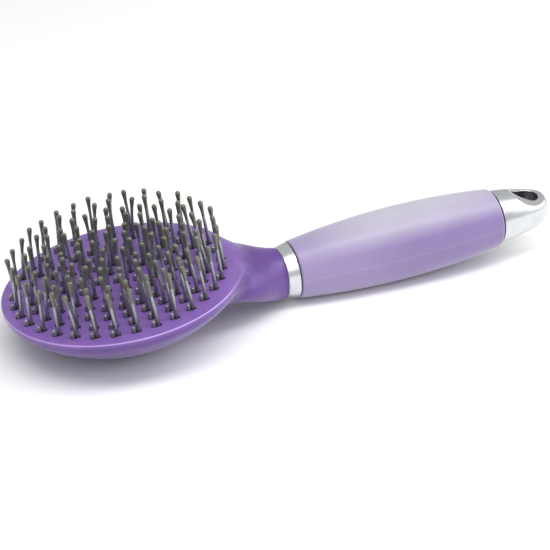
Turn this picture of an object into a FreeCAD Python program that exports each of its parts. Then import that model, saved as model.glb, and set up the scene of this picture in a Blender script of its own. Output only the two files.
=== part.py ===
"""Bristle brush: round pin head on a neck, silver collar, swelling soft grip and holed end cap.

Units are millimetres. The brush is drawn in its own frame (face plate in the plane z = 0,
handle along +X) and then tipped so that it lies on its back on the plane z = 0.
The final origin is the middle of the flat land under the head.
"""
import FreeCAD, Part
import math
import os

V = FreeCAD.Vector
os.makedirs("parts", exist_ok=True)

# head
HEAD_R = 49.0
RIM_R = 1.2
WALL_H = 3.4
BELLY_DEPTH = 24.8
BELLY_EDGE_R = 1.6
FACE_T = 2.8
CAVITY_R = 45.8

# pins and pegs
PIN_FIELD_X = -0.5
# rings of pins: radius, count, first pin's angle from the near side
PIN_RINGS = (
    (42.2, 33, 3.5),
    (35.8, 29, 5.0),
    (29.0, 24, 5.6),
    (22.2, 20, 6.6),
    (14.9, 14, 18.7),
    (8.0, 6, 8.8),
    (0.0, 1, 0.0),
)
PIN_ROOT_R = 0.8
PIN_NECK_R = 0.64
PIN_NECK_Z = 13.6
PIN_BALL_R = 1.12
PIN_BALL_Z = 18.75
PEG_R = 0.88
PEG_TOP_Z = 2.6
PEG_DX = -1.78
PEG_DY = 0.05
SLOT_R = 1.08
SLOT_X0 = -1.73
SLOT_X1 = 0.25
SEAT_GAP = 0.04

# bed and backing plate
BED_TOP = -2.9
BED_BOTTOM = -5.1
BED_R = 45.65
PLATE_BOTTOM = -6.6
PLATE_R = 42.7

# back cover
COVER_R = 45.7
COVER_WALL = 1.9
RIB_T = 1.6

# handle axis, in the brush's own frame
AXIS_Z = -14.9
AXIS_DROP = 3.1

# stations along the handle axis, from the point under the head's centre
NECK_END = 66.0
RING_START = 66.4
RING_END = 71.6
GRIP_START = 72.0
GRIP_END = 165.0
CAP_START = 165.6
CAP_END = 191.5

# neck sections: station, lift of centre, half width, half height
NECK_SECTIONS = (
    (26.0, 6.85, 20.5, 8.85),
    (34.0, 7.4, 22.6, 8.5),
    (40.0, 7.3, 23.0, 8.8),
    (45.0, 6.4, 22.3, 9.8),
    (50.0, 5.0, 20.6, 10.3),
    (54.6, 3.2, 17.8, 10.8),
    (58.5, 1.6, 14.8, 11.2),
    (62.0, 0.6, 12.2, 11.1),
    (NECK_END, 0.0, 10.8, 10.8),
)

# collar, core and screw
RING_R0 = 10.85
RING_R1 = 11.9
SPACER_INSET = 0.45
CORE_R = 9.0
CORE_TANG_R = 6.5
CORE_TANG_START = 57.0
CORE_CAP_R = 7.6
CORE_CAP_END = 171.0
CORE_BORE_R = 4.5
CORE_BORE_START = 60.0
SCREW_R = 1.75
SCREW_HEAD_R = 3.4
SCREW_HEAD_H = 2.6
SCREW_TIP = 48.5
FIT_GAP = 0.15

# grip
GRIP_MAX_R = 15.75
GRIP_MID = 120.5
GRIP_BULGE_R = 333.0
GRIP_ROUND_START = 0.7
GRIP_ROUND_END = 1.7

# end cap
CAP_R = 11.7
CAP_PROFILE = (
    (170.0, 11.25),
    (175.0, 10.5),
    (180.0, 9.6),
    (184.0, 8.6),
    (187.0, 7.35),
    (189.2, 5.6),
    (190.7, 3.5),
)
CAP_SOCKET_END = 172.0
CAP_EDGE_R = 0.5
# slanted cut over the cap's top: hollow lengthwise as station and height, crowned across
SCOOP_ARC = ((171.0, 12.6), (178.0, 7.9), (192.0, 6.2))
SCOOP_CROWN_LIFT = -29.0
SCOOP_LEAN = 9.0
HOLE_S = 182.4
HOLE_R = 4.3
HOLE_POINT_S = 175.8
HOLE_POINT_R = 1.4
HOLE_EASE = 0.3

# resting pose
REST_TILT = 6.5


def revolve(wire_points, axis_point, axis_dir):
    """Solid of revolution of a closed face made from edges."""
    wire = Part.Wire(wire_points)
    return Part.Face(wire).revolve(axis_point, axis_dir, 360)


def line(a, b):
    return Part.makeLine(a, b)


def arc(a, m, b):
    return Part.Arc(a, m, b).toShape()


def belly_radius():
    """Radius of the sphere of the head's back, through the wall's foot and the lowest point."""
    sag = BELLY_DEPTH - WALL_H
    return (HEAD_R ** 2 + sag ** 2) / (2.0 * sag)


def belly_centre_z():
    return belly_radius() - BELLY_DEPTH


def domed_disc():
    """Whole outside of the head: flat face, rounded rim, short wall and spherical back."""
    s45 = math.sin(math.radians(45.0))
    radius = belly_radius()
    centre_z = belly_centre_z()
    half_angle = 0.5 * math.asin(HEAD_R / radius)
    top = V(0, 0, 0)
    rim_in = V(HEAD_R - RIM_R, 0, 0)
    rim_mid = V(HEAD_R - RIM_R + RIM_R * s45, 0, -RIM_R + RIM_R * s45)
    rim_out = V(HEAD_R, 0, -RIM_R)
    foot = V(HEAD_R, 0, -WALL_H)
    mid = V(radius * math.sin(half_angle), 0, centre_z - radius * math.cos(half_angle))
    low = V(0, 0, -BELLY_DEPTH)
    edges = [
        line(top, rim_in),
        arc(rim_in, rim_mid, rim_out),
        line(rim_out, foot),
        arc(foot, mid, low),
        line(low, top),
    ]
    solid = revolve(edges, V(0, 0, 0), V(0, 0, 1))
    wall_foot = [e for e in solid.Edges if is_circle_at(e, HEAD_R, -WALL_H)]
    return solid.makeFillet(BELLY_EDGE_R, wall_foot)


def circle_of(edge):
    """The circle an edge lies on, or None."""
    if edge.Degenerated or not isinstance(edge.Curve, Part.Circle):
        return None
    return edge.Curve


def is_circle_at(edge, radius, height):
    """True for a circle of this radius at this height."""
    circle = circle_of(edge)
    if circle is None:
        return False
    return abs(circle.Radius - radius) < 0.01 and abs(circle.Center.z - height) < 0.01


def handle_point(station, side=0.0, lift=0.0):
    """Point of the brush's own frame at a station of the handle axis."""
    drop = math.radians(AXIS_DROP)
    x = station * math.cos(drop) + lift * math.sin(drop)
    z = AXIS_Z - station * math.sin(drop) + lift * math.cos(drop)
    return V(x, side, z)


def handle_dir():
    drop = math.radians(AXIS_DROP)
    return V(math.cos(drop), 0, -math.sin(drop))


def handle_up():
    drop = math.radians(AXIS_DROP)
    return V(math.sin(drop), 0, math.cos(drop))


def turned(profile):
    """Solid turned on the handle axis from straight lines between (station, radius) points."""
    points = [handle_point(s, 0, r) for s, r in profile]
    edges = [line(a, b) for a, b in zip(points, points[1:] + points[:1])]
    return revolve(edges, handle_point(0), handle_dir())


def drum(start, end, radius):
    """Cylinder on the handle axis."""
    return Part.makeCylinder(radius, end - start, handle_point(start), handle_dir())


def neck_horn():
    """Neck that flares from the collar into the head's shoulder."""
    wires = []
    for station, lift, half_w, half_h in NECK_SECTIONS:
        centre = handle_point(station, 0, lift)
        if half_w > half_h:
            tip_major = centre + V(0, half_w, 0)
            tip_minor = centre + handle_up() * half_h
            ellipse = Part.Ellipse(tip_major, tip_minor, centre)
            edge = ellipse.toShape()
        else:
            edge = round_section(centre, half_h)
        wires.append(Part.Wire(edge))
    return Part.makeLoft(wires, True, False)


def round_section(centre, radius):
    """Circle across the handle axis whose seam lies to the side, like the ellipses'."""
    circle = Part.Circle(centre, handle_dir(), radius)
    start = circle.parameter(centre + V(0, radius, 0))
    shape = circle.toShape(start, start + 2.0 * math.pi)
    return shape


def head_outside():
    return domed_disc().fuse(neck_horn()).removeSplitter()


def pin_places():
    """Centre of every long pin: rings around the face and one pin in the middle."""
    places = []
    for radius, count, first in PIN_RINGS:
        for k in range(count):
            angle = math.radians(first - 90.0 + 360.0 * k / count)
            x = PIN_FIELD_X + radius * math.cos(angle)
            places.append((x, radius * math.sin(angle)))
    return places


def long_pin():
    """One pin: straight root, slim tapered shank and a drop-shaped ball tip."""
    tip = V(0, 0, PIN_BALL_Z + PIN_BALL_R)
    lean = math.radians(9.0)
    on_ball = V(PIN_BALL_R * math.cos(lean), 0, PIN_BALL_Z - PIN_BALL_R * math.sin(lean))
    over = math.radians(35.0)
    ball_mid = V(PIN_BALL_R * math.cos(over), 0, PIN_BALL_Z + PIN_BALL_R * math.sin(over))
    foot_axis = V(0, 0, BED_BOTTOM)
    foot = V(PIN_ROOT_R, 0, BED_BOTTOM)
    root_top = V(PIN_ROOT_R, 0, 0.4)
    neck = V(PIN_NECK_R, 0, PIN_NECK_Z)
    edges = [
        line(foot_axis, foot),
        line(foot, root_top),
        line(root_top, neck),
        line(neck, on_ball),
        arc(on_ball, ball_mid, tip),
        line(tip, foot_axis),
    ]
    return revolve(edges, V(0, 0, 0), V(0, 0, 1))


def short_peg():
    """One peg: a short round-topped post."""
    height = PEG_TOP_Z - BED_BOTTOM
    post = Part.makeCylinder(PEG_R, height, V(0, 0, BED_BOTTOM))
    top_edges = [e for e in post.Edges if is_circle_at(e, PEG_R, PEG_TOP_Z)]
    return post.makeFillet(PEG_R * 0.8, top_edges)


def repeated(shape, places):
    """Compound of separate copies of one solid."""
    copies = []
    for x, y in places:
        copy = shape.copy()
        copy.translate(V(x, y, 0))
        copies.append(copy)
    return Part.makeCompound(copies)


def face_slot():
    """Cutter for one obround hole of the face plate."""
    depth = FACE_T + 1.0
    ends = [V(SLOT_X0, 0, -depth), V(SLOT_X1, 0, -depth)]
    tall = 1.5 * depth
    left = Part.makeCylinder(SLOT_R, tall, ends[0])
    right = Part.makeCylinder(SLOT_R, tall, ends[1])
    bar = Part.makeBox(SLOT_X1 - SLOT_X0, 2.0 * SLOT_R, tall, V(SLOT_X0, -SLOT_R, -depth))
    return left.fuse([right, bar]).removeSplitter()


def deep_disc(radius, top):
    """Cylinder from a height down past the whole head."""
    depth = 80.0
    return Part.makeCylinder(radius, depth, V(0, 0, top - depth))


def head_shell(outside):
    shell = outside.cut(deep_disc(CAVITY_R, -FACE_T))
    shell = biggest(shell)
    socket = drum(CORE_TANG_START, NECK_END + 1.0, CORE_TANG_R + FIT_GAP)
    pilot = drum(SCREW_TIP - 1.0, CORE_TANG_START + 1.0, SCREW_R + SEAT_GAP)
    shell = shell.cut(socket.fuse(pilot))
    slots = repeated(face_slot(), pin_places())
    return biggest(shell.cut(slots))


def biggest(shape):
    """The largest solid of a boolean result."""
    return max(shape.Solids, key=lambda s: s.Volume)


def back_cover(outside):
    """Domed cover with a cross of ribs that presses on the backing plate."""
    cover = outside.common(deep_disc(COVER_R, BED_BOTTOM))
    radius = belly_radius() - COVER_WALL
    inner_ball = Part.makeSphere(radius, V(0, 0, belly_centre_z()))
    hollow = inner_ball.common(deep_disc(COVER_R - COVER_WALL, BED_BOTTOM))
    shell = biggest(cover).cut(hollow)
    corner = V(-COVER_R, -RIB_T / 2.0, PLATE_BOTTOM - BELLY_DEPTH)
    ribs = []
    for turn in (45.0, 135.0):
        rib = Part.makeBox(2.0 * COVER_R, RIB_T, BELLY_DEPTH, corner)
        rib.rotate(V(0, 0, 0), V(0, 0, 1), turn)
        ribs.append(rib)
    cross = ribs[0].fuse(ribs[1]).common(hollow)
    shell = shell.fuse(cross).removeSplitter()
    return biggest(shell)


def bristle_bed(places):
    """Soft disc with a snug hole for every pin and peg."""
    bed = Part.makeCylinder(BED_R, BED_TOP - BED_BOTTOM, V(0, 0, BED_BOTTOM))
    depth = BED_TOP - BED_BOTTOM + 2.0
    holes = []
    for x, y in places:
        holes.append(Part.makeCylinder(PIN_ROOT_R + SEAT_GAP, depth, V(x, y, BED_BOTTOM - 1.0)))
        seat = V(x + PEG_DX, y + PEG_DY, BED_BOTTOM - 1.0)
        holes.append(Part.makeCylinder(PEG_R + SEAT_GAP, depth, seat))
    return biggest(bed.cut(Part.makeCompound(holes)))


def backing_plate():
    return Part.makeCylinder(PLATE_R, BED_BOTTOM - PLATE_BOTTOM, V(0, 0, PLATE_BOTTOM))


def spacer(start, end, radius, core_radius):
    """Thin dark washer on the core."""
    return drum(start, end, radius).cut(drum(start - 1.0, end + 1.0, core_radius + FIT_GAP))


def ferrule_ring():
    """Silver collar: a slightly conical tube with eased edges."""
    ease = 0.35
    profile = (
        (RING_START, CORE_R + FIT_GAP),
        (RING_START, RING_R0 - ease),
        (RING_START + ease, RING_R0),
        (RING_END - ease, RING_R1),
        (RING_END, RING_R1 - ease),
        (RING_END, CORE_R + FIT_GAP),
    )
    return turned(profile)


def handle_core():
    """Hollow stepped spigot inside collar, grip and cap, closed at the neck but for the screw."""
    profile = (
        (CORE_TANG_START, SCREW_R + FIT_GAP),
        (CORE_TANG_START, CORE_TANG_R),
        (NECK_END, CORE_TANG_R),
        (NECK_END, CORE_R),
        (GRIP_END, CORE_R),
        (GRIP_END, CORE_CAP_R),
        (CORE_CAP_END, CORE_CAP_R),
        (CORE_CAP_END, CORE_BORE_R),
        (CORE_BORE_START, CORE_BORE_R),
        (CORE_BORE_START, SCREW_R + FIT_GAP),
    )
    return turned(profile)


def core_screw():
    """Pan-head screw along the handle axis."""
    head_end = CORE_BORE_START + SCREW_HEAD_H
    profile = (
        (SCREW_TIP, 0.0),
        (SCREW_TIP + SCREW_R, SCREW_R),
        (CORE_BORE_START, SCREW_R),
        (CORE_BORE_START, SCREW_HEAD_R),
        (head_end - 0.6, SCREW_HEAD_R),
        (head_end, SCREW_HEAD_R - 0.6),
        (head_end, 0.0),
    )
    return turned(profile)


def grip_radius(station):
    """Outside radius of the grip's bulge at a station."""
    offset = station - GRIP_MID
    return GRIP_MAX_R - GRIP_BULGE_R + math.sqrt(GRIP_BULGE_R ** 2 - offset ** 2)


def grip_sleeve():
    """Soft sleeve that swells in the middle, with rounded ends."""
    a = handle_point(GRIP_START, 0, grip_radius(GRIP_START))
    m = handle_point(GRIP_MID, 0, GRIP_MAX_R)
    b = handle_point(GRIP_END, 0, grip_radius(GRIP_END))
    bore_b = handle_point(GRIP_END, 0, CORE_R + FIT_GAP)
    bore_a = handle_point(GRIP_START, 0, CORE_R + FIT_GAP)
    solid = revolve([arc(a, m, b), line(b, bore_b), line(bore_b, bore_a), line(bore_a, a)],
                    handle_point(0), handle_dir())
    solid = eased(solid, GRIP_START, grip_radius(GRIP_START), GRIP_ROUND_START)
    return eased(solid, GRIP_END, grip_radius(GRIP_END), GRIP_ROUND_END)


def eased(solid, station, radius, round_r):
    """Round the circular edge of this radius at this station of the handle."""
    centre = handle_point(station)
    edges = []
    for edge in solid.Edges:
        circle = circle_of(edge)
        if circle is None:
            continue
        if abs(circle.Radius - radius) < 0.05 and circle.Center.distanceToPoint(centre) < 0.05:
            edges.append(edge)
    return solid.makeFillet(round_r, edges)


def cap_outside():
    """Bullet-shaped outside of the end cap before the slant and the hole."""
    points = [handle_point(CAP_START, 0, CAP_R)]
    points += [handle_point(s, 0, r) for s, r in CAP_PROFILE]
    points.append(handle_point(CAP_END, 0, 0))
    curve = Part.BSplineCurve()
    curve.interpolate(points, InitialTangent=handle_dir() * 4.0 + handle_up() * -0.3,
                      FinalTangent=handle_up() * -4.0)
    face_edges = [
        line(handle_point(CAP_START), points[0]),
        curve.toShape(),
        line(points[-1], handle_point(CAP_START)),
    ]
    return revolve(face_edges, handle_point(0), handle_dir())


def scoop_cutter():
    """Block whose underside slants the cap's top down towards the tip."""
    a, m, b = [handle_point(station, 0, lift) for station, lift in SCOOP_ARC]
    height = 40.0
    lid_a = a + handle_up() * height
    lid_b = b + handle_up() * height
    wire = Part.Wire([arc(a, m, b), line(b, lid_b), line(lid_b, lid_a), line(lid_a, a)])
    centre = handle_point(CAP_START, 0, SCOOP_CROWN_LIFT)
    half_turn = 60.0
    face = Part.Face(wire)
    face.rotate(centre, handle_dir(), -half_turn)
    block = face.revolve(centre, handle_dir(), 2.0 * half_turn)
    block.rotate(handle_point(0), handle_dir(), SCOOP_LEAN)
    return block


def hang_hole():
    """Teardrop hole down through the cap, its point towards the grip."""
    height = 60.0
    reach = HOLE_S - HOLE_POINT_S
    turn = math.acos((HOLE_R - HOLE_POINT_R) / reach)

    def rim(station, radius, angle):
        return handle_point(station - radius * math.cos(angle), radius * math.sin(angle), -height / 2.0)

    round_a, round_b = rim(HOLE_S, HOLE_R, turn), rim(HOLE_S, HOLE_R, -turn)
    point_a, point_b = rim(HOLE_POINT_S, HOLE_POINT_R, turn), rim(HOLE_POINT_S, HOLE_POINT_R, -turn)
    outline = Part.Wire([
        arc(round_a, rim(HOLE_S, HOLE_R, math.pi), round_b),
        line(round_b, point_b),
        arc(point_b, rim(HOLE_POINT_S, HOLE_POINT_R, 0.0), point_a),
        line(point_a, round_a),
    ])
    return Part.Face(outline).extrude(handle_up() * height)


def hole_mouths(cap):
    """Edges where the hole comes out at the top and bottom of the cap."""
    wall = Part.makeShell(hang_hole().Faces[:-2])
    edges = []
    for edge in cap.Edges:
        if edge.Degenerated:
            continue
        middle = edge.valueAt(0.5 * (edge.FirstParameter + edge.LastParameter))
        if wall.distToShape(Part.Vertex(middle))[0] < 0.02 and edge_is_across(edge):
            edges.append(edge)
    return edges


def edge_is_across(edge):
    """True for an edge that runs round the hole, not along it."""
    tangent = edge.tangentAt(0.5 * (edge.FirstParameter + edge.LastParameter))
    return abs(tangent.dot(handle_up())) < 0.9


def end_cap():
    cap = cap_outside()
    cap = cap.cut(scoop_cutter())
    cap = cap.cut(drum(CAP_START - 1.0, CAP_SOCKET_END, CORE_CAP_R + FIT_GAP))
    cap = biggest(cap.cut(hang_hole()))
    cap = cap.makeFillet(HOLE_EASE, hole_mouths(cap))
    return eased(cap, CAP_START, CAP_R, CAP_EDGE_R)


def floor_height():
    """Lowest point of the grip's bulge once the brush is tipped onto its back."""
    tilt = math.radians(REST_TILT)
    rise = math.radians(REST_TILT - AXIS_DROP)
    mid = handle_point(GRIP_MID)
    mid_height = mid.x * math.sin(tilt) + mid.z * math.cos(tilt)
    above = GRIP_BULGE_R - GRIP_MAX_R
    return mid_height + above * math.cos(rise) - GRIP_BULGE_R


def land_centre_x():
    """Where the tipped sphere of the head's back would touch the floor."""
    return -belly_centre_z() * math.sin(math.radians(REST_TILT))


def laid_down(shape):
    """Move a piece from the brush's own frame to its resting pose."""
    moved = shape.copy()
    moved.rotate(V(0, 0, 0), V(0, 1, 0), -REST_TILT)
    moved.translate(V(-land_centre_x(), 0, -floor_height()))
    return moved


def under_floor():
    """Everything below the resting plane."""
    return Part.makeBox(600.0, 200.0, 60.0, V(-300.0, -100.0, -60.0))


def peg_places(places):
    return [(x + PEG_DX, y + PEG_DY) for x, y in places]


def main():
    places = pin_places()
    outside = head_outside()
    pieces = {
        "head_shell": head_shell(outside),
        "back_cover": back_cover(outside),
        "bristle_bed": bristle_bed(places),
        "backing_plate": backing_plate(),
        "long_pins": repeated(long_pin(), places),
        "short_pegs": repeated(short_peg(), peg_places(places)),
        "neck_spacer": spacer(NECK_END, RING_START, RING_R0 - SPACER_INSET, CORE_R),
        "ferrule_ring": ferrule_ring(),
        "grip_spacer": spacer(RING_END, GRIP_START, RING_R1 - SPACER_INSET, CORE_R),
        "handle_core": handle_core(),
        "core_screw": core_screw(),
        "grip_sleeve": grip_sleeve(),
        "cap_spacer": spacer(GRIP_END, CAP_START, CAP_R - 0.1, CORE_CAP_R),
        "end_cap": end_cap(),
    }
    for name, shape in pieces.items():
        placed = laid_down(shape)
        if name == "back_cover":
            placed = biggest(placed.cut(under_floor()))
        placed.exportStep("parts/" + name + ".step")


main()
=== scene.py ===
"""Bristle brush lying on its back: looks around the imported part."""
import math

import bmesh
import bpy
import numpy as np
from mathutils import Matrix, Vector
from mathutils.geometry import delaunay_2d_cdt


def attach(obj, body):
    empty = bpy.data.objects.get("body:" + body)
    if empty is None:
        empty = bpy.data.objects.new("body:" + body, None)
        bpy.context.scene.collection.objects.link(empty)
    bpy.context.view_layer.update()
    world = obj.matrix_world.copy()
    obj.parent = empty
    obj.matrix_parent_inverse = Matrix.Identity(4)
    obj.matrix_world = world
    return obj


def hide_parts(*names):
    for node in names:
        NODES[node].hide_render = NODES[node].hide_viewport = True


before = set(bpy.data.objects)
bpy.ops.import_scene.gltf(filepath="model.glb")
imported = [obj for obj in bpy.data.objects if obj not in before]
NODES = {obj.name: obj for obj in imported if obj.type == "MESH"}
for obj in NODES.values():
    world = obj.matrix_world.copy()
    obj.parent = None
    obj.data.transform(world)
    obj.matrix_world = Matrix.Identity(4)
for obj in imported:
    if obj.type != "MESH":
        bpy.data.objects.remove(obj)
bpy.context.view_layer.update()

MM = 0.001

# the brush's own frame in the row frame: tipped about Y, then moved (mm)
REST_TILT = math.radians(6.5)
REST_X = 4.754
REST_Z = 23.966

# head (mm, brush frame: face plane z = 0, handle along +X)
HEAD_R = 49.0
RIM_R = 0.6
RIM_SOFT = 5.0
WALL_H = 3.4
WALL_DRAFT = 0.25
WALL_FOOT_R = 1.6
BALL_R = 66.8
BALL_Z = 42.0
FACE_T = 2.8
FACE_EDGE_R = 46.9
FACE_EDGE_DIP = 3.0
COVER_R = 45.7
SEAM_HALF = 0.09
REST_FLAT_R = 0.5

# the rim is soft where the neck flows in, and crisp past FLOW_ANGLE each side of it (degrees)
FLOW_ANGLE = 30.0
FLOW_FADE = 18.0

# the fillet between neck and head grows from BELOW at the low height to TOP at the high one (mm)
BLEND_TOP = 8.0
BLEND_BELOW = 3.5
BLEND_LOW_Z = -15.0
BLEND_HIGH_Z = -4.0

# handle axis: at AXIS_Z below the face's middle, falling towards the cap (mm, brush frame)
AXIS_Z = -14.9
AXIS_DROP = math.radians(3.1)

# neck: station along the axis, lift of its middle off the axis, half width, half height (mm)
NECK_END = 66.0
NECK_JOIN = 56.0
NECK_LAP = 3.0
NECK_SUNK = 0.5
NECK_END_EASE = 0.3
NECK_SECTIONS = (
    (26.0, 6.85, 20.5, 8.85),
    (34.0, 7.4, 22.6, 8.5),
    (40.0, 7.3, 23.0, 8.8),
    (45.0, 6.4, 22.3, 9.8),
    (50.0, 5.0, 20.6, 10.3),
    (54.6, 3.2, 17.8, 10.8),
    (58.5, 1.6, 14.8, 11.2),
    (62.0, 0.6, 12.2, 11.1),
    (NECK_END, 0.0, 10.8, 10.8),
)

# rim, wall and back are marched outwards from this point inside the head (mm, brush frame)
HEAD_EYE = (18.0, 0.0, -9.0)
MARCH_STEPS = 90
MARCH_STRIDE = 0.9

# pins and pegs: rings of pins as radius (mm), count and turn of the first pin (degrees)
PIN_FIELD_X = -0.5
PIN_RINGS = (
    (42.2, 33, 3.5),
    (35.8, 29, 5.0),
    (29.0, 24, 5.6),
    (22.2, 20, 6.6),
    (14.9, 14, 18.7),
    (8.0, 6, 8.8),
    (0.0, 1, 0.0),
)
ROOT_Z = -5.1
PIN_BALL_R = 1.12
PIN_BALL_Z = 18.75
PIN_BEND = 1.35
TIP_ROW = 6
PEG_R = 0.88
PEG_TOP_Z = 2.6
PEG_TOP_ROUND = 0.8
PEG_TOP_FLAT = 0.12
PEG_DX = -1.78
PEG_DY = 0.05
SLOT_R = 1.08
SLOT_X0 = -1.73
SLOT_X1 = 0.25
SLOT_EASE = 0.16

# grip (stations and sizes in mm)
GRIP_START = 72.0
GRIP_END = 165.0
GRIP_START_ROUND = 0.8
GRIP_END_ROUND = 1.7
GRIP_MAX_R = 15.75
GRIP_MID = 120.5
GRIP_BULGE_R = 333.0
GRIP_BULGE_INSET = 1.6
GRIP_BULGE_OUTSET = 2.4
GRIP_BORE_R = 9.2
PARTING_H = 0.09
PARTING_SPREAD = 0.25
PARTING_HALF = 0.3

# hanging hole of the end cap, whose walls get painted shade: middle along X and half sizes of an oval round
# it (mm, row frame)
HOLE_X = 186.55
HOLE_HALF_X = 6.8
HOLE_HALF_Y = 4.8


# ---------------------------------------------------------------- geometry helpers
def to_row(points):
    """Brush-frame millimetres to row-frame metres."""
    p = np.asarray(points, float)
    c, s = math.cos(REST_TILT), math.sin(REST_TILT)
    x = p[:, 0] * c - p[:, 2] * s + REST_X
    z = p[:, 0] * s + p[:, 2] * c + REST_Z
    return np.column_stack([x, p[:, 1], z]) * MM


def turn_to_row(normals):
    """Directions of the brush frame in the row frame."""
    n = np.asarray(normals, float)
    c, s = math.cos(REST_TILT), math.sin(REST_TILT)
    return np.column_stack([n[:, 0] * c - n[:, 2] * s, n[:, 1], n[:, 0] * s + n[:, 2] * c])


def on_handle(station, side, lift):
    """Brush-frame point from a station, a sideways and a lift offset of the handle axis."""
    c, s = math.cos(AXIS_DROP), math.sin(AXIS_DROP)
    station, side, lift = np.broadcast_arrays(*(np.asarray(v, float) for v in (station, side, lift)))
    return np.stack([station * c + lift * s, side, AXIS_Z - station * s + lift * c], axis=-1)


def handle_coords(p):
    """Station and lift of brush-frame points."""
    c, s = math.cos(AXIS_DROP), math.sin(AXIS_DROP)
    z = p[..., 2] - AXIS_Z
    return p[..., 0] * c - z * s, p[..., 0] * s + z * c


def up_from(rise):
    """Row-frame direction that stands square on a line rising towards +X."""
    return (-math.sin(rise), 0.0, math.cos(rise))


def level_of(point, up):
    """How far up a direction a brush-frame point lies in the row frame (m)."""
    return float(to_row([point])[0] @ np.array(up))


HANDLE_WAY = on_handle(1.0, 0.0, 0.0) - on_handle(0.0, 0.0, 0.0)
FACE_UP = up_from(REST_TILT)
FACE_LEVEL = level_of((0.0, 0.0, 0.0), FACE_UP)
AXIS_UP = up_from(REST_TILT - AXIS_DROP)
AXIS_LEVEL = level_of((0.0, 0.0, AXIS_Z), AXIS_UP)


def unit(vectors):
    """The same directions with length 1."""
    return vectors / np.linalg.norm(vectors, axis=-1, keepdims=True)


def eased(part):
    """0 to 1 with a gentle start and end."""
    part = np.clip(part, 0.0, 1.0)
    return part * part * (3.0 - 2.0 * part)


def round_max(a, b, r):
    """Intersection of two distance fields with a rounded outer edge."""
    return np.minimum(np.maximum(a, b), -r) + np.hypot(np.maximum(a + r, 0), np.maximum(b + r, 0))


def round_min(a, b, r):
    """Union of two distance fields with a rounded inner corner."""
    return np.maximum(np.minimum(a, b), r) - np.hypot(np.maximum(r - a, 0), np.maximum(r - b, 0))


SECTIONS = np.array(NECK_SECTIONS)
SECTION_MID = 45.0
LIFT_FIT, WIDTH_FIT, HEIGHT_FIT = (
    np.polyfit(SECTIONS[:, 0] - SECTION_MID, SECTIONS[:, k], 6) for k in (1, 2, 3))


def neck_section(station):
    """Centre lift, half width and half height of the neck at a station."""
    at = np.clip(station, SECTIONS[0, 0], NECK_END) - SECTION_MID
    return np.polyval(LIFT_FIT, at), np.polyval(WIDTH_FIT, at), np.polyval(HEIGHT_FIT, at)


def softness(x, y):
    """0 where the face's edge is crisp, rising to 1 where the neck flows in."""
    turn = np.degrees(np.abs(np.arctan2(y, x)))
    return eased((FLOW_ANGLE - turn) / FLOW_FADE)


def head_field(p):
    """Signed distance, nearly, to the outside of head and neck in one flowing shape."""
    x, y, z = p[..., 0], p[..., 1], p[..., 2]
    out = np.hypot(x, y)
    ball = np.hypot(out, z - BALL_Z) - BALL_R
    disc = round_max(out - HEAD_R, ball, WALL_FOOT_R)
    station, lift = handle_coords(p)
    centre, half_w, half_h = neck_section(station)
    u, v = y / half_w, (lift - centre) / half_h
    near = np.hypot(u, v)
    steep = np.maximum(np.hypot(u / half_w, v / half_h), 1e-6)
    neck = np.maximum(near * (near - 1.0) / steep, SECTIONS[0, 0] - station)
    high = eased((z - BLEND_LOW_Z) / (BLEND_HIGH_Z - BLEND_LOW_Z))
    whole = round_min(disc, neck, BLEND_BELOW + (BLEND_TOP - BLEND_BELOW) * high)
    whole = round_max(whole, z, RIM_R + RIM_SOFT * softness(x, y))
    floor_gap = x * math.sin(REST_TILT) + z * math.cos(REST_TILT) + REST_Z
    return round_max(whole, -floor_gap, REST_FLAT_R)


def field_normals(p):
    """Unit outward normals of the head's surface."""
    step = 0.02
    parts = []
    for axis in range(3):
        shift = np.zeros(3)
        shift[axis] = step
        parts.append(head_field(p + shift) - head_field(p - shift))
    return unit(np.stack(parts, axis=-1))


def march(start, direction, stop_station=None):
    """Moves points from inside the head outwards along their directions to its surface."""
    travel = np.zeros(start.shape[:-1])
    for _ in range(MARCH_STEPS):
        p = start + travel[..., None] * direction
        gap = -head_field(p)
        if stop_station is not None:
            gap = np.minimum(gap, stop_station - handle_coords(p)[0])
        travel = travel + MARCH_STRIDE * gap
    return start + travel[..., None] * direction


def grid_faces(rows, columns, first=0):
    """Quads of a grid of vertices stored row by row, each row closed to a ring."""
    faces = []
    for i in range(rows - 1):
        a, b = first + i * columns, first + (i + 1) * columns
        for j in range(columns):
            k = (j + 1) % columns
            faces.append((a + j, b + j, b + k, a + k))
    return faces


def flipped(faces):
    """The same faces looking the other way."""
    return [tuple(reversed(face)) for face in faces]


def add_piece(name, points, faces, material, replaced, normals=None, sharp_angle=None):
    """A mesh object of the brush from brush-frame millimetres, riding on the one body."""
    mesh = bpy.data.meshes.new(name)
    mesh.from_pydata(to_row(points).tolist(), [], faces)
    mesh.validate()
    mesh.update()
    mesh.polygons.foreach_set("use_smooth", [True] * len(mesh.polygons))
    if normals is not None:
        mesh.normals_split_custom_set_from_vertices(turn_to_row(normals).tolist())
    elif sharp_angle is not None:
        mesh.set_sharp_from_angle(angle=math.radians(sharp_angle))
    mesh.materials.append(material)
    piece = bpy.data.objects.new(name, mesh)
    bpy.context.scene.collection.objects.link(piece)
    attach(piece, "root")
    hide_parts(*replaced)
    return piece


# ---------------------------------------------------------------- head
def column_angles():
    """Angles round the head, closer together where the neck flows in."""
    near = np.radians(np.arange(-40.0, 40.0, 0.32))
    far = np.radians(np.arange(40.0, 320.0, 0.8))
    return np.concatenate([near, far])


def ring_at(angles, radius, height):
    """Points round the head at one height; the radius may change with the angle."""
    return np.stack([radius * np.cos(angles), radius * np.sin(angles), np.full_like(angles, height)], axis=-1)


def face_edge(angles):
    """Outline of the flat part of the face, drawn in where the neck begins."""
    return FACE_EDGE_R - FACE_EDGE_DIP * softness(np.cos(angles), np.sin(angles))


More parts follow.
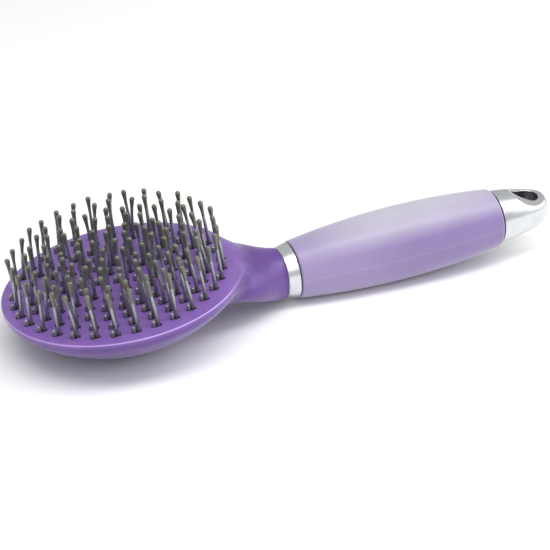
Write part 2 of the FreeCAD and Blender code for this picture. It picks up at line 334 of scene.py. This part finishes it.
def dome_ring(angles, radius):
    """Points of the back straight below a circle of the face."""
    thin_edge = radius >= 44.0
    start = ring_at(angles, radius, -5.2 if thin_edge else -9.0)
    down = np.broadcast_to(np.array([0.0, 0.0, -1.0]), start.shape)
    return march(start, down)


def head_band(angles):
    """Vertices of rim, side wall, neck and back down to the cover's seam, as rows x columns."""
    rim_rows, corner_rows, back_rows = 6, 10, 64
    edge = face_edge(angles)
    corner_start = HEAD_R - RIM_R
    rows = []
    for step in range(rim_rows):
        rows.append(ring_at(angles, edge + (corner_start - edge) * step / rim_rows, 0.0))
    for turn in np.radians(np.linspace(0.0, 90.0, corner_rows)):
        rows.append(ring_at(angles, corner_start + RIM_R * math.sin(turn), -RIM_R + RIM_R * math.cos(turn)))
    for height in (-1.6, -2.1, -2.6):
        rows.append(ring_at(angles, HEAD_R, height))
    foot = ring_at(angles, HEAD_R - WALL_DRAFT, -WALL_H)
    seam = dome_ring(angles, COVER_R + SEAM_HALF)
    for step in range(back_rows):
        part = step / back_rows
        rows.append(foot * (1.0 - part) + seam * part)
    rows.append(seam)
    start = np.stack(rows)
    past_join = 1.5
    moved = march(start, unit(start - np.array(HEAD_EYE)), stop_station=NECK_JOIN + past_join)
    moved[0] = start[0]
    moved[-1] = seam
    return moved


def cut_at_neck(points, faces):
    """Keeps what lies before the plane where the neck's own rings take over."""
    mesh = bmesh.new()
    corners = [mesh.verts.new(p) for p in points]
    for face in faces:
        mesh.faces.new([corners[k] for k in face])
    plane = on_handle(NECK_JOIN, 0.0, 0.0)
    geometry = mesh.verts[:] + mesh.edges[:] + mesh.faces[:]
    bmesh.ops.bisect_plane(mesh, geom=geometry, plane_co=plane, plane_no=HANDLE_WAY, clear_outer=True)
    mesh.verts.index_update()
    kept = np.array([v.co for v in mesh.verts])
    kept_faces = [tuple(v.index for v in f.verts) for f in mesh.faces]
    mesh.free()
    return kept, kept_faces


def neck_ring(station, turn):
    """One ring of the neck's skin, and the point in its middle."""
    centre, _, half_h = neck_section(station)
    middle = on_handle(station, 0.0, centre)
    start = on_handle(station, 0.5 * half_h * np.cos(turn), centre + 0.5 * half_h * np.sin(turn))
    return march(start, unit(start - middle)), middle


def neck_tube():
    """Rings of the neck up to the collar, lapped under the head, with an eased end and end face."""
    columns = 220
    turn = np.linspace(0.0, 2.0 * math.pi, columns, endpoint=False)
    lapped, middle = neck_ring(NECK_JOIN - NECK_LAP, turn)
    rows = [lapped - NECK_SUNK * unit(lapped - middle)]
    for station in np.linspace(NECK_JOIN, NECK_END - NECK_END_EASE, 34):
        rows.append(neck_ring(station, turn)[0])
    normals = [field_normals(row) for row in rows]
    last = rows[-1]
    radial = unit(last - on_handle(NECK_END - NECK_END_EASE, 0.0, 0.0))
    for forward, inward, tip in ((0.18, 0.06, 0.4), (0.3, 0.22, 0.8), (0.3, 1.7, 1.0)):
        rows.append(last + HANDLE_WAY * forward - radial * inward)
        normals.append(unit(radial * (1.0 - tip) + HANDLE_WAY * tip))
    return np.concatenate(rows), flipped(grid_faces(len(rows), columns)), np.concatenate(normals)


def pin_places():
    """Feet of the pins, ring by ring from the rim to the middle (mm, brush frame)."""
    places = []
    for radius, count, first in PIN_RINGS:
        for k in range(count):
            angle = math.radians(first - 90.0 + 360.0 * k / count)
            places.append((PIN_FIELD_X + radius * math.cos(angle), radius * math.sin(angle)))
    return places


def slot_outline(radius):
    """Outline of one obround hole round its pin, anticlockwise."""
    turn = np.radians(np.linspace(-90.0, 90.0, 11))
    right = np.column_stack([SLOT_X1 + radius * np.cos(turn), radius * np.sin(turn)])
    left = np.column_stack([SLOT_X0 - radius * np.cos(turn), -radius * np.sin(turn)])
    return np.concatenate([right, left])


def face_sheet(angles, outline, places):
    """Corners and triangles of the flat face, with one hole of this outline at each place."""
    flat = [ring_at(angles, face_edge(angles), 0.0)[:, :2]]
    edges = [(k, (k + 1) % len(angles)) for k in range(len(angles))]
    count = len(outline)
    for x, y in places:
        first = sum(len(part) for part in flat)
        flat.append(outline + [x, y])
        edges += [(first + k, first + (k + 1) % count) for k in range(count)]
    result = delaunay_2d_cdt([Vector(p) for p in np.concatenate(flat)], edges, [], 0, 1e-7)
    corners = np.array([tuple(v) for v in result[0]])
    triangles = np.array([tuple(f) for f in result[2]])
    middles = corners[triangles].mean(axis=1)
    keep = np.hypot(middles[:, 0], middles[:, 1]) < face_edge(np.arctan2(middles[:, 1], middles[:, 0]))
    hole_r = SLOT_R + SLOT_EASE - 0.01
    for x, y in places:
        on_slot = np.clip(middles[:, 0] - x, SLOT_X0, SLOT_X1)
        keep &= np.hypot(middles[:, 0] - x - on_slot, middles[:, 1] - y) >= hole_r
    return np.column_stack([corners, np.zeros(len(corners))]), [tuple(t) for t in triangles[keep].tolist()]


def face_plate(angles):
    """Flat face with its holes, and the walls of the holes."""
    outline = slot_outline(SLOT_R + SLOT_EASE)
    inner = slot_outline(SLOT_R)
    count = len(outline)
    places = pin_places()
    sheet, faces = face_sheet(angles, outline, places)
    middles = np.column_stack([np.clip(outline[:, 0], SLOT_X0, SLOT_X1), np.zeros(count)])
    out_dir = unit(outline - middles)
    points = [sheet]
    normals = [np.tile([0.0, 0.0, 1.0], (len(sheet), 1))]
    levels = ((outline, 0.0, 0.7), (inner, -SLOT_EASE, 0.3), (inner, -FACE_T, 0.0))
    first = len(sheet)
    for x, y in places:
        for shape, height, up in levels:
            points.append(np.column_stack([shape + [x, y], np.full(count, height)]))
            normals.append(np.column_stack([-out_dir * math.sqrt(1.0 - up * up), np.full(count, up)]))
        for a in (first, first + count):
            for k in range(count):
                n = (k + 1) % count
                faces.append((a + n, a + count + n, a + count + k, a + k))
        first += len(levels) * count
    return np.concatenate(points), faces, np.concatenate(normals)


def seam_lip(seam):
    """Wall that turns up into the head where the shell ends at the cover's seam."""
    depth = 1.2
    edge = np.concatenate([seam, seam + [0.0, 0.0, depth]])
    return edge, grid_faces(2, len(seam)), unit(edge * [-1.0, -1.0, 0.0])


def head_moulding(material):
    """Rim, wall, back, neck and pierced face of the head as one piece."""
    angles = column_angles()
    band = head_band(angles)
    kept, kept_faces = cut_at_neck(band.reshape(-1, 3), grid_faces(len(band), len(angles)))
    parts = ((kept, kept_faces, field_normals(kept)), neck_tube(), face_plate(angles), seam_lip(band[-1]))
    faces = []
    total = 0
    for part_points, part_faces, _ in parts:
        faces += [tuple(k + total for k in face) for face in part_faces]
        total += len(part_points)
    points = np.concatenate([part[0] for part in parts])
    normals = np.concatenate([part[2] for part in parts])
    add_piece("head_moulding", points, faces, material, ["head_shell"], normals=normals)


def cover_moulding(material):
    """Domed back cover with an eased edge, down to the flat land it lies on."""
    angles = column_angles()
    columns = len(angles)
    edge = COVER_R - SEAM_HALF
    shoulder = dome_ring(angles, edge)
    out = unit(shoulder * [1.0, 1.0, 0.0])
    hidden = shoulder + [0.0, 0.0, 1.4]
    lowered = shoulder + [0.0, 0.0, 0.1]
    dome = [dome_ring(angles, r) for r in (edge - 0.12, edge - 0.5, *np.linspace(edge - 1.5, 1.2, 44))]
    tip = dome_ring(np.zeros(1), 0.01)
    rows = [hidden, lowered] + dome
    faces = grid_faces(len(rows), columns)
    last = (len(rows) - 1) * columns
    centre = len(rows) * columns
    faces += [(last + k, centre, last + (k + 1) % columns) for k in range(columns)]
    normals = [out, out * 0.8 + [0.0, 0.0, -0.6]] + [field_normals(row) for row in dome + [tip]]
    add_piece("cover_moulding", np.concatenate(rows + [tip]), faces, material, ["back_cover"],
              normals=np.concatenate(normals))


# ---------------------------------------------------------------- pins and pegs
def turned_bristles(name, materials, replaced, shape, feet, leans, tops, sides):
    """Bent bodies of revolution from (radius, height) pairs; a second material covers the tips."""
    turn = np.linspace(0.0, 2.0 * math.pi, sides, endpoint=False)
    top_height = shape[-1][1]
    rows = len(shape)
    points, faces = [], []
    for (x, y), (lean_x, lean_y), top in zip(feet, leans, tops):
        first = len(points)
        for radius, height in shape:
            bend = (max(height, 0.0) / top_height) ** PIN_BEND
            rise = height * top if height > 0.0 else height
            for angle in turn:
                points.append((x + lean_x * bend + radius * math.cos(angle),
                               y + lean_y * bend + radius * math.sin(angle), rise))
        faces += flipped(grid_faces(rows, sides, first))
        last = first + (rows - 1) * sides
        faces.append(tuple(last + k for k in range(sides)))
    piece = add_piece(name, points, faces, materials[0], [replaced], sharp_angle=70.0)
    for tip_material in materials[1:]:
        piece.data.materials.append(tip_material)
        faces_each = (rows - 1) * sides + 1
        for index, face in enumerate(piece.data.polygons):
            if index % faces_each >= TIP_ROW * sides:
                face.material_index = 1


def pin_shape():
    """Radius and height along a pin: plain root, slim shank, long drop-shaped tip."""
    shape = [(0.80, ROOT_Z), (0.80, 0.3), (0.79, 2.5), (0.76, 5.5), (0.72, 8.5), (0.68, 11.0), (0.65, 13.0),
             (0.66, 14.0), (0.72, 15.0), (0.81, 16.0), (0.92, 17.0), (1.03, 17.9), (PIN_BALL_R, 18.6)]
    for turn in np.radians([18, 36, 52, 66, 77, 85]):
        shape.append((PIN_BALL_R * math.cos(turn), PIN_BALL_Z + PIN_BALL_R * math.sin(turn)))
    return shape


def peg_shape():
    """Radius and height along a peg: a straight side and a rounded top."""
    round_z = PEG_TOP_Z - PEG_TOP_ROUND
    shape = [(PEG_R, ROOT_Z), (PEG_R, 0.1), (PEG_R, 1.5), (PEG_R, round_z)]
    for turn in np.radians([18, 36, 54, 70, 82]):
        radius = PEG_TOP_FLAT + (PEG_R - PEG_TOP_FLAT) * math.cos(turn)
        shape.append((radius, round_z + PEG_TOP_ROUND * math.sin(turn)))
    return shape


def long_pins(shank_material, tip_material):
    """Ball-tipped pins, each bent by the field's drift and by chance (mm at the tip)."""
    chance = np.random.default_rng(11)
    feet = pin_places()
    leans = []
    for x, y in feet:
        drift_x = -0.15 - 0.015 * x + 0.03 * y
        drift_y = -1.5 + 0.046 * x
        leans.append((drift_x + chance.normal(0.0, 0.8), drift_y + chance.normal(0.0, 0.85)))
    tops = 1.0 + chance.normal(0.0, 0.015, len(feet))
    turned_bristles("ball_pins", [shank_material, tip_material], "long_pins",
                    pin_shape(), feet, leans, tops, 16)


def short_pegs(material):
    """Round-topped pegs, one in the same hole as each pin."""
    chance = np.random.default_rng(23)
    feet = [(x + PEG_DX, y + PEG_DY) for x, y in pin_places()]
    leans = chance.normal(0.0, 0.07, (len(feet), 2))
    tops = 1.0 + chance.normal(0.0, 0.05, len(feet))
    turned_bristles("guard_pegs", [material], "short_pegs",
                    peg_shape(), feet, leans, tops, 18)


# ---------------------------------------------------------------- grip
def grip_radius(station):
    """Radius of the sleeve's bulge at a station."""
    return GRIP_MAX_R - GRIP_BULGE_R + math.sqrt(GRIP_BULGE_R ** 2 - (station - GRIP_MID) ** 2)


def rounded_end(end, way, size, steps):
    """Stations and radii of one rounded end of the sleeve, from its end face inwards."""
    corner = []
    for turn in np.radians(np.linspace(0.0, 90.0, steps)):
        radius = grip_radius(end + way * size) - size * (1.0 - math.sin(turn))
        corner.append((end + way * size * (1.0 - math.cos(turn)), radius))
    return corner


def grip_profile():
    """Station and radius of the sleeve from bore to bore."""
    bulge = np.linspace(GRIP_START + GRIP_BULGE_INSET, GRIP_END - GRIP_BULGE_OUTSET, 90)
    return [(GRIP_START, GRIP_BORE_R),
            *rounded_end(GRIP_START, 1.0, GRIP_START_ROUND, 8),
            *((station, grip_radius(station)) for station in bulge),
            *reversed(rounded_end(GRIP_END, -1.0, GRIP_END_ROUND, 12)),
            (GRIP_END, GRIP_BORE_R)]


def grip_angles():
    """Angles round the sleeve, closer together at the two parting lines."""
    fine = np.radians(np.linspace(-4.0, 4.0, 25))
    coarse = np.radians(np.linspace(4.0, 176.0, 115)[1:-1])
    return np.concatenate([fine, coarse, fine + math.pi, coarse + math.pi])


def grip(material, seam_highlight_material):
    """Soft sleeve with a fine raised parting line along both sides, in a lighter material as a painted
    highlight.
    """
    angles = grip_angles()
    columns = len(angles)
    side = np.abs(np.sin(angles)) * GRIP_MAX_R
    ridge = PARTING_H * np.exp(-(side / PARTING_SPREAD) ** 2)
    rows = []
    for station, radius in grip_profile():
        on_skin = radius > GRIP_BORE_R + 1.2
        reach = radius + ridge * on_skin
        rows.append(on_handle(station, -reach * np.cos(angles), reach * np.sin(angles)))
    faces = flipped(grid_faces(len(rows), columns))
    piece = add_piece("grip_sleeve_gel", np.concatenate(rows), faces, material, ["grip_sleeve"],
                      sharp_angle=60.0)
    piece.data.materials.append(seam_highlight_material)
    on_seam = side < PARTING_HALF
    for index, face in enumerate(piece.data.polygons):
        column = index % columns
        if on_seam[column] and on_seam[(column + 1) % columns]:
            face.material_index = 1


# ---------------------------------------------------------------- node tree helpers
def new_material(name):
    """A material with its node tree and main shader."""
    material = bpy.data.materials.new(name)
    material.use_nodes = True
    tree = material.node_tree
    return material, tree, tree.nodes["Principled BSDF"]


def set_inputs(shader, **values):
    """Sets shader sockets by name, with _ for a space."""
    for name, value in values.items():
        shader.inputs[name.replace("_", " ")].default_value = value


def noise(tree, scale, detail=4.0, stretch=(1.0, 1.0, 1.0)):
    """Noise in object space, so it sticks to the piece. Returns the factor socket."""
    coords = tree.nodes.new("ShaderNodeTexCoord")
    place = tree.nodes.new("ShaderNodeMapping")
    place.inputs["Scale"].default_value = stretch
    node = tree.nodes.new("ShaderNodeTexNoise")
    set_inputs(node, Scale=scale, Detail=detail, Roughness=0.55)
    tree.links.new(coords.outputs["Object"], place.inputs["Vector"])
    tree.links.new(place.outputs["Vector"], node.inputs["Vector"])
    return node.outputs["Fac"]


def map_range(tree, source, start, end, low=0.0, high=1.0, kind="LINEAR"):
    """A value that goes from low to high while its source goes from start to end."""
    node = tree.nodes.new("ShaderNodeMapRange")
    node.interpolation_type = kind
    for name, value in (("From Min", start), ("From Max", end), ("To Min", low), ("To Max", high)):
        node.inputs[name].default_value = value
    tree.links.new(source, node.inputs["Value"])
    return node.outputs["Result"]


def spread(tree, source, low, high):
    """Maps the middle of a noise to a value range."""
    return map_range(tree, source, 0.3, 0.7, low, high)


def component(tree, source, axis):
    """One coordinate of a vector socket."""
    parts = tree.nodes.new("ShaderNodeSeparateXYZ")
    tree.links.new(source, parts.inputs["Vector"])
    return parts.outputs[axis]


def along(tree, start, end):
    """0 to 1 between two places along X (mm, row frame)."""
    coords = tree.nodes.new("ShaderNodeTexCoord")
    place = component(tree, coords.outputs["Object"], "X")
    return map_range(tree, place, start * MM, end * MM, kind="SMOOTHSTEP")


def across_band(tree, up, level, low, high):
    """0 to 1 between two heights (mm) over a level (m), measured along a direction."""
    coords = tree.nodes.new("ShaderNodeTexCoord")
    height = tree.nodes.new("ShaderNodeVectorMath")
    height.operation = "DOT_PRODUCT"
    height.inputs[1].default_value = up
    tree.links.new(coords.outputs["Object"], height.inputs[0])
    return map_range(tree, height.outputs["Value"], level + low * MM, level + high * MM)


def placed_coords(tree, location, rotation=(0.0, 0.0, 0.0), scale=(1.0, 1.0, 1.0)):
    """Object coordinates seen from a moved, turned and scaled frame."""
    coords = tree.nodes.new("ShaderNodeTexCoord")
    place = tree.nodes.new("ShaderNodeMapping")
    place.vector_type = "TEXTURE"
    set_inputs(place, Location=location, Rotation=rotation, Scale=scale)
    tree.links.new(coords.outputs["Object"], place.inputs["Vector"])
    return place.outputs["Vector"]


def distance_off_z(tree, source):
    """Distance of a point from its frame's Z axis."""
    flat = tree.nodes.new("ShaderNodeVectorMath")
    flat.operation = "MULTIPLY"
    flat.inputs[1].default_value = (1.0, 1.0, 0.0)
    length = tree.nodes.new("ShaderNodeVectorMath")
    length.operation = "LENGTH"
    tree.links.new(source, flat.inputs[0])
    tree.links.new(flat.outputs["Vector"], length.inputs[0])
    return length.outputs["Value"]


def math_node(tree, operation, *sources):
    """Result of a Math node fed by one or two sockets."""
    node = tree.nodes.new("ShaderNodeMath")
    node.operation = operation
    for k, source in enumerate(sources):
        tree.links.new(source, node.inputs[k])
    return node.outputs["Value"]


def mixed(tree, factor, first, second):
    """Colour between two colour sockets."""
    node = tree.nodes.new("ShaderNodeMix")
    node.data_type = "RGBA"
    tree.links.new(factor, node.inputs["Factor"])
    tree.links.new(first, node.inputs["A"])
    tree.links.new(second, node.inputs["B"])
    return node.outputs["Result"]


def ramp(tree, source, stops):
    """Colour socket of a ramp with (place, colour) stops."""
    node = tree.nodes.new("ShaderNodeValToRGB")
    tree.links.new(source, node.inputs["Fac"])
    elements = node.color_ramp.elements
    while len(elements) < len(stops):
        elements.new(0.5)
    for element, (place, colour) in zip(elements, stops):
        element.position = place
        element.color = (*colour, 1.0)
    return node.outputs["Color"]


def bump(tree, shader, source, strength, distance):
    """Fine relief on a shader."""
    node = tree.nodes.new("ShaderNodeBump")
    set_inputs(node, Strength=strength, Distance=distance)
    tree.links.new(source, node.inputs["Height"])
    tree.links.new(node.outputs["Normal"], shader.inputs["Normal"])


def lightened(stops, times):
    """Ramp stops with every colour made lighter, or darker below 1."""
    return [(place, tuple(min(c * times, 1.0) for c in colour)) for place, colour in stops]


# ---------------------------------------------------------------- materials
def plastic(name, roughness, tone_scale, grain=(2600.0, 0.08, 0.0001), **look):
    """Moulded plastic without its colour: uneven gloss, a fine grain, and the tone for the colour."""
    material, tree, shader = new_material(name)
    tone = noise(tree, tone_scale, 3.0)
    tree.links.new(spread(tree, noise(tree, tone_scale * 3.6, 5.0), *roughness), shader.inputs["Roughness"])
    set_inputs(shader, Subsurface_Scale=0.4, Subsurface_Radius=(0.004, 0.002, 0.006), Coat_Roughness=0.25)
    set_inputs(shader, **look)
    bump(tree, shader, noise(tree, grain[0], 2.0), grain[1], grain[2])
    return material, tree, shader, tone


def plain_plastic(name, stops, roughness, tone_scale):
    """Moulded plastic in one colour."""
    material, tree, shader, tone = plastic(name, roughness, tone_scale)
    tree.links.new(ramp(tree, tone, stops), shader.inputs["Base Color"])
    return material


def rim_highlight_line(tree):
    """1 on a hair line around the corner between face and wall, where a painted highlight goes, fading out
    towards the neck.
    """
    place = placed_coords(tree, (REST_X * MM, 0.0, REST_Z * MM), rotation=(0.0, -REST_TILT, 0.0))
    outside = map_range(tree, distance_off_z(tree, place), (HEAD_R - 0.42) * MM, (HEAD_R - 0.22) * MM)
    above = map_range(tree, component(tree, place, "Z"), -0.62 * MM, -0.40 * MM)
    off_neck = map_range(tree, component(tree, place, "X"), 43.0 * MM, 30.0 * MM)
    return math_node(tree, "MULTIPLY", math_node(tree, "MULTIPLY", outside, above), off_neck)


def purple_plastic():
    """Purple moulding: painted light makes the face paler and painted shade makes the sides and neck deeper,
    and a painted highlight draws a thin light line on the rim's edge.
    """
    # pale: the face's colour with painted light; deep: the colour with painted shade on walls, back and neck
    pale = [(0.30, (0.162, 0.076, 0.330)), (0.5, (0.190, 0.091, 0.372)), (0.72, (0.220, 0.108, 0.415))]
    deep = [(0.30, (0.080, 0.027, 0.200)), (0.5, (0.094, 0.033, 0.226)), (0.72, (0.110, 0.041, 0.252))]
    # light: colour of the painted highlight along the rim
    light = [(0.3, (0.36, 0.23, 0.56)), (0.7, (0.44, 0.30, 0.64))]
    material, tree, shader, tone = plastic(
        "purple_moulding", (0.34, 0.46), 45.0, Subsurface_Weight=0.10, Coat_Weight=0.2, Coat_Roughness=0.12,
        Sheen_Weight=0.18, Sheen_Roughness=0.35)
    # painted light and shade: deep below the face's level, pale above it
    height = across_band(tree, FACE_UP, FACE_LEVEL, -2.4, -0.2)
    body = mixed(tree, height, ramp(tree, tone, deep), ramp(tree, tone, pale))
    # the rim's painted highlight goes over the painted light and shade of the body
    tree.links.new(mixed(tree, rim_highlight_line(tree), body, ramp(tree, tone, light)), shader.inputs["Base Color"])
    return material


def lavender_gel(name="lavender_gel", lighter=1.0):
    """Milky lavender gel: deeper towards the cap, with a painted highlight along the top."""
    material, tree, shader = new_material(name)
    tone = noise(tree, 30.0, 3.0)
    deep = [(0.3, (0.225, 0.165, 0.355)), (0.7, (0.255, 0.190, 0.390))]
    milky = [(0.3, (0.285, 0.228, 0.410)), (0.7, (0.320, 0.256, 0.452))]
    # pale: colour of the painted highlight along the top
    pale = [(0.3, (0.420, 0.400, 0.480)), (0.7, (0.460, 0.440, 0.525))]
    deep, milky, pale = (ramp(tree, tone, lightened(stops, lighter)) for stops in (deep, milky, pale))
    violet = mixed(tree, along(tree, 75.0, 140.0), milky, deep)
    high_up = across_band(tree, AXIS_UP, AXIS_LEVEL, 6.5, 15.5)
    # painted highlight: on the upper side of the sleeve, fading in along X from 60 to 115 mm
    top_highlight = math_node(tree, "MULTIPLY", high_up, along(tree, 60.0, 115.0))
    tree.links.new(mixed(tree, top_highlight, violet, pale), shader.inputs["Base Color"])
    tree.links.new(spread(tree, noise(tree, 220.0, 4.0), 0.34, 0.46), shader.inputs["Roughness"])
    set_inputs(shader, Subsurface_Weight=0.45, Subsurface_Radius=(0.010, 0.007, 0.012), Subsurface_Scale=0.5,
               Sheen_Weight=0.8, Sheen_Roughness=0.3, Coat_Weight=0.15, Coat_Roughness=0.3)
    bump(tree, shader, noise(tree, 3200.0, 2.0), 0.05, 0.0001)
    return material


def hole_shade_mask(tree):
    """1 on the upright walls of the hanging hole, where painted shade goes, 0 on the rest of the cap."""
    oval = placed_coords(tree, (HOLE_X * MM, 0.0, 0.0), scale=(HOLE_HALF_X * MM, HOLE_HALF_Y * MM, 1.0))
    near = map_range(tree, distance_off_z(tree, oval), 1.04, 0.98)
    coords = tree.nodes.new("ShaderNodeTexCoord")
    facing = component(tree, coords.outputs["Normal"], "Z")
    wall = map_range(tree, math_node(tree, "ABSOLUTE", facing), 0.55, 0.30)
    return math_node(tree, "MULTIPLY", near, wall)


def silver():
    """Satin vacuum-plated plastic with faint lengthwise brushing, and painted shade inside the hanging hole.
    """
    material, tree, shader = new_material("satin_silver")
    tone = noise(tree, 120.0, 4.0)
    plated = ramp(tree, tone, [(0.3, (0.62, 0.64, 0.66)), (0.7, (0.71, 0.73, 0.75))])
    # inside: darker silver as painted shade on the hole's walls
    inside = ramp(tree, tone, [(0.3, (0.34, 0.34, 0.36)), (0.7, (0.44, 0.44, 0.46))])
    tree.links.new(mixed(tree, hole_shade_mask(tree), plated, inside), shader.inputs["Base Color"])
    brushed = noise(tree, 900.0, 4.0, stretch=(0.2, 1.0, 1.0))
    tree.links.new(spread(tree, brushed, 0.24, 0.28), shader.inputs["Roughness"])
    set_inputs(shader, Metallic=1.0)
    bump(tree, shader, noise(tree, 1800.0, 3.0, stretch=(0.12, 1.0, 1.0)), 0.06, 0.00005)
    return material


def grey_nylon(name, low, high, roughness, lustre):
    """Glossy filled nylon with painted shade darkening it at the root; lustre is how much of it mirrors like
    metal.
    """
    stops = [(0.3, low), (0.7, high)]
    material, tree, shader, tone = plastic(
        name, roughness, 260.0, grain=(5200.0, 0.05, 0.00005), Subsurface_Weight=0.05,
        Subsurface_Radius=(0.001, 0.001, 0.001), Coat_Weight=0.6, Coat_Roughness=0.12, Metallic=lustre)
    # painted shade: colour falls to 0.3 of itself from 11 mm above the face down to the root
    root_shade_fade = across_band(tree, FACE_UP, FACE_LEVEL, -1.0, 11.0)
    colour = mixed(tree, root_shade_fade, ramp(tree, tone, lightened(stops, 0.30)), ramp(tree, tone, stops))
    tree.links.new(colour, shader.inputs["Base Color"])
    return material


def screw_steel():
    """Plain steel of the hidden screw."""
    material, tree, shader = new_material("screw_steel")
    colour = ramp(tree, noise(tree, 900.0), [(0.3, (0.50, 0.50, 0.50)), (0.7, (0.62, 0.62, 0.61))])
    tree.links.new(colour, shader.inputs["Base Color"])
    set_inputs(shader, Metallic=1.0)
    tree.links.new(spread(tree, noise(tree, 1500.0), 0.3, 0.42), shader.inputs["Roughness"])
    return material


def assign(material, *nodes):
    """Gives CAD nodes one material."""
    for node in nodes:
        slots = NODES[node].data.materials
        for index in range(len(slots)):
            slots[index] = material
        if not slots:
            slots.append(material)


PURPLE = purple_plastic()
SHANK_NYLON = grey_nylon("shank_nylon", (0.27, 0.285, 0.29), (0.38, 0.395, 0.40), (0.20, 0.30), 0.65)
TIP_NYLON = grey_nylon("tip_nylon", (0.085, 0.092, 0.062), (0.125, 0.132, 0.095), (0.26, 0.36), 0.0)
PEG_NYLON = grey_nylon("peg_nylon", (0.40, 0.40, 0.41), (0.52, 0.52, 0.53), (0.20, 0.30), 0.5)
RUBBER = plain_plastic(
    "dark_rubber", [(0.3, (0.016, 0.016, 0.034)), (0.7, (0.028, 0.028, 0.05))], (0.45, 0.6), 300.0)
BLACK = plain_plastic(
    "black_plastic", [(0.3, (0.020, 0.020, 0.022)), (0.7, (0.032, 0.032, 0.034))], (0.4, 0.5), 150.0)

head_moulding(PURPLE)
cover_moulding(PURPLE)
long_pins(SHANK_NYLON, TIP_NYLON)
short_pegs(PEG_NYLON)
# the parting line gets the gel 1.15 times lighter: a painted highlight along its ridge
grip(lavender_gel(), lavender_gel("lavender_gel_seam_highlight", 1.15))
assign(silver(), "ferrule_ring", "end_cap")
assign(RUBBER, "neck_spacer", "grip_spacer", "cap_spacer", "bristle_bed")
assign(BLACK, "backing_plate", "handle_core")
assign(screw_steel(), "core_screw")


# ---------------------------------------------------------------- stage
def floor():
    """Pale sheet under the brush."""
    half = 3.0
    mesh = bpy.data.meshes.new("floor")
    corners = [(-half, -half, 0), (half, -half, 0), (half, half, 0), (-half, half, 0)]
    mesh.from_pydata(corners, [], [(0, 1, 2, 3)])
    plane = bpy.data.objects.new("floor", mesh)
    bpy.context.scene.collection.objects.link(plane)
    material, tree, shader = new_material("pale_floor")
    colour = ramp(tree, noise(tree, 3.0), [(0.3, (0.90, 0.90, 0.90)), (0.7, (0.92, 0.92, 0.92))])
    tree.links.new(colour, shader.inputs["Base Color"])
    set_inputs(shader, Roughness=0.9)
    mesh.materials.append(material)


def area_light(name, place, target, size, power):
    """Rectangular lamp at a place, aimed at a target (m, W)."""
    data = bpy.data.lights.new(name, "AREA")
    data.shape = "RECTANGLE"
    data.size, data.size_y = size
    data.energy = power
    light = bpy.data.objects.new(name, data)
    light.location = place
    light.rotation_euler = (Vector(target) - Vector(place)).to_track_quat("-Z", "Y").to_euler()
    bpy.context.scene.collection.objects.link(light)


def world_light(strength):
    """Even white light from all round."""
    world = bpy.data.worlds.new("studio")
    world.use_nodes = True
    set_inputs(world.node_tree.nodes["Background"], Color=(1.0, 1.0, 1.0, 1.0), Strength=strength)
    bpy.context.scene.world = world


def camera(place, back, up, lens):
    """Camera at a place (m) with its own backward and upward directions and its lens (mm)."""
    data = bpy.data.cameras.new("camera")
    data.sensor_width = 36.0
    data.lens = lens
    data.clip_start = 0.01
    back = Vector(back).normalized()
    right = Vector(up).cross(back).normalized()
    turn = Matrix((right, back.cross(right), back)).transposed().to_4x4()
    cam = bpy.data.objects.new("camera", data)
    cam.matrix_world = Matrix.Translation(place) @ turn
    bpy.context.scene.collection.objects.link(cam)
    bpy.context.scene.camera = cam


bpy.context.scene.view_settings.view_transform = "Standard"
floor()
world_light(0.6)
area_light("key", (0.42, -0.32, 1.0), (0.42, 0.0, 0.01), (1.9, 0.36), 10.0)
area_light("front", (-0.10, -0.85, 0.70), (-0.10, 0.0, 0.01), (0.9, 0.5), 2.2)
area_light("right", (0.95, -0.25, 0.45), (0.05, 0.0, 0.02), (0.9, 0.7), 3.0)
camera((-0.16123, -0.62472, 0.35180), (-0.3099, -0.8355, 0.4538), (0.1890, 0.4137, 0.8906), 117.82)
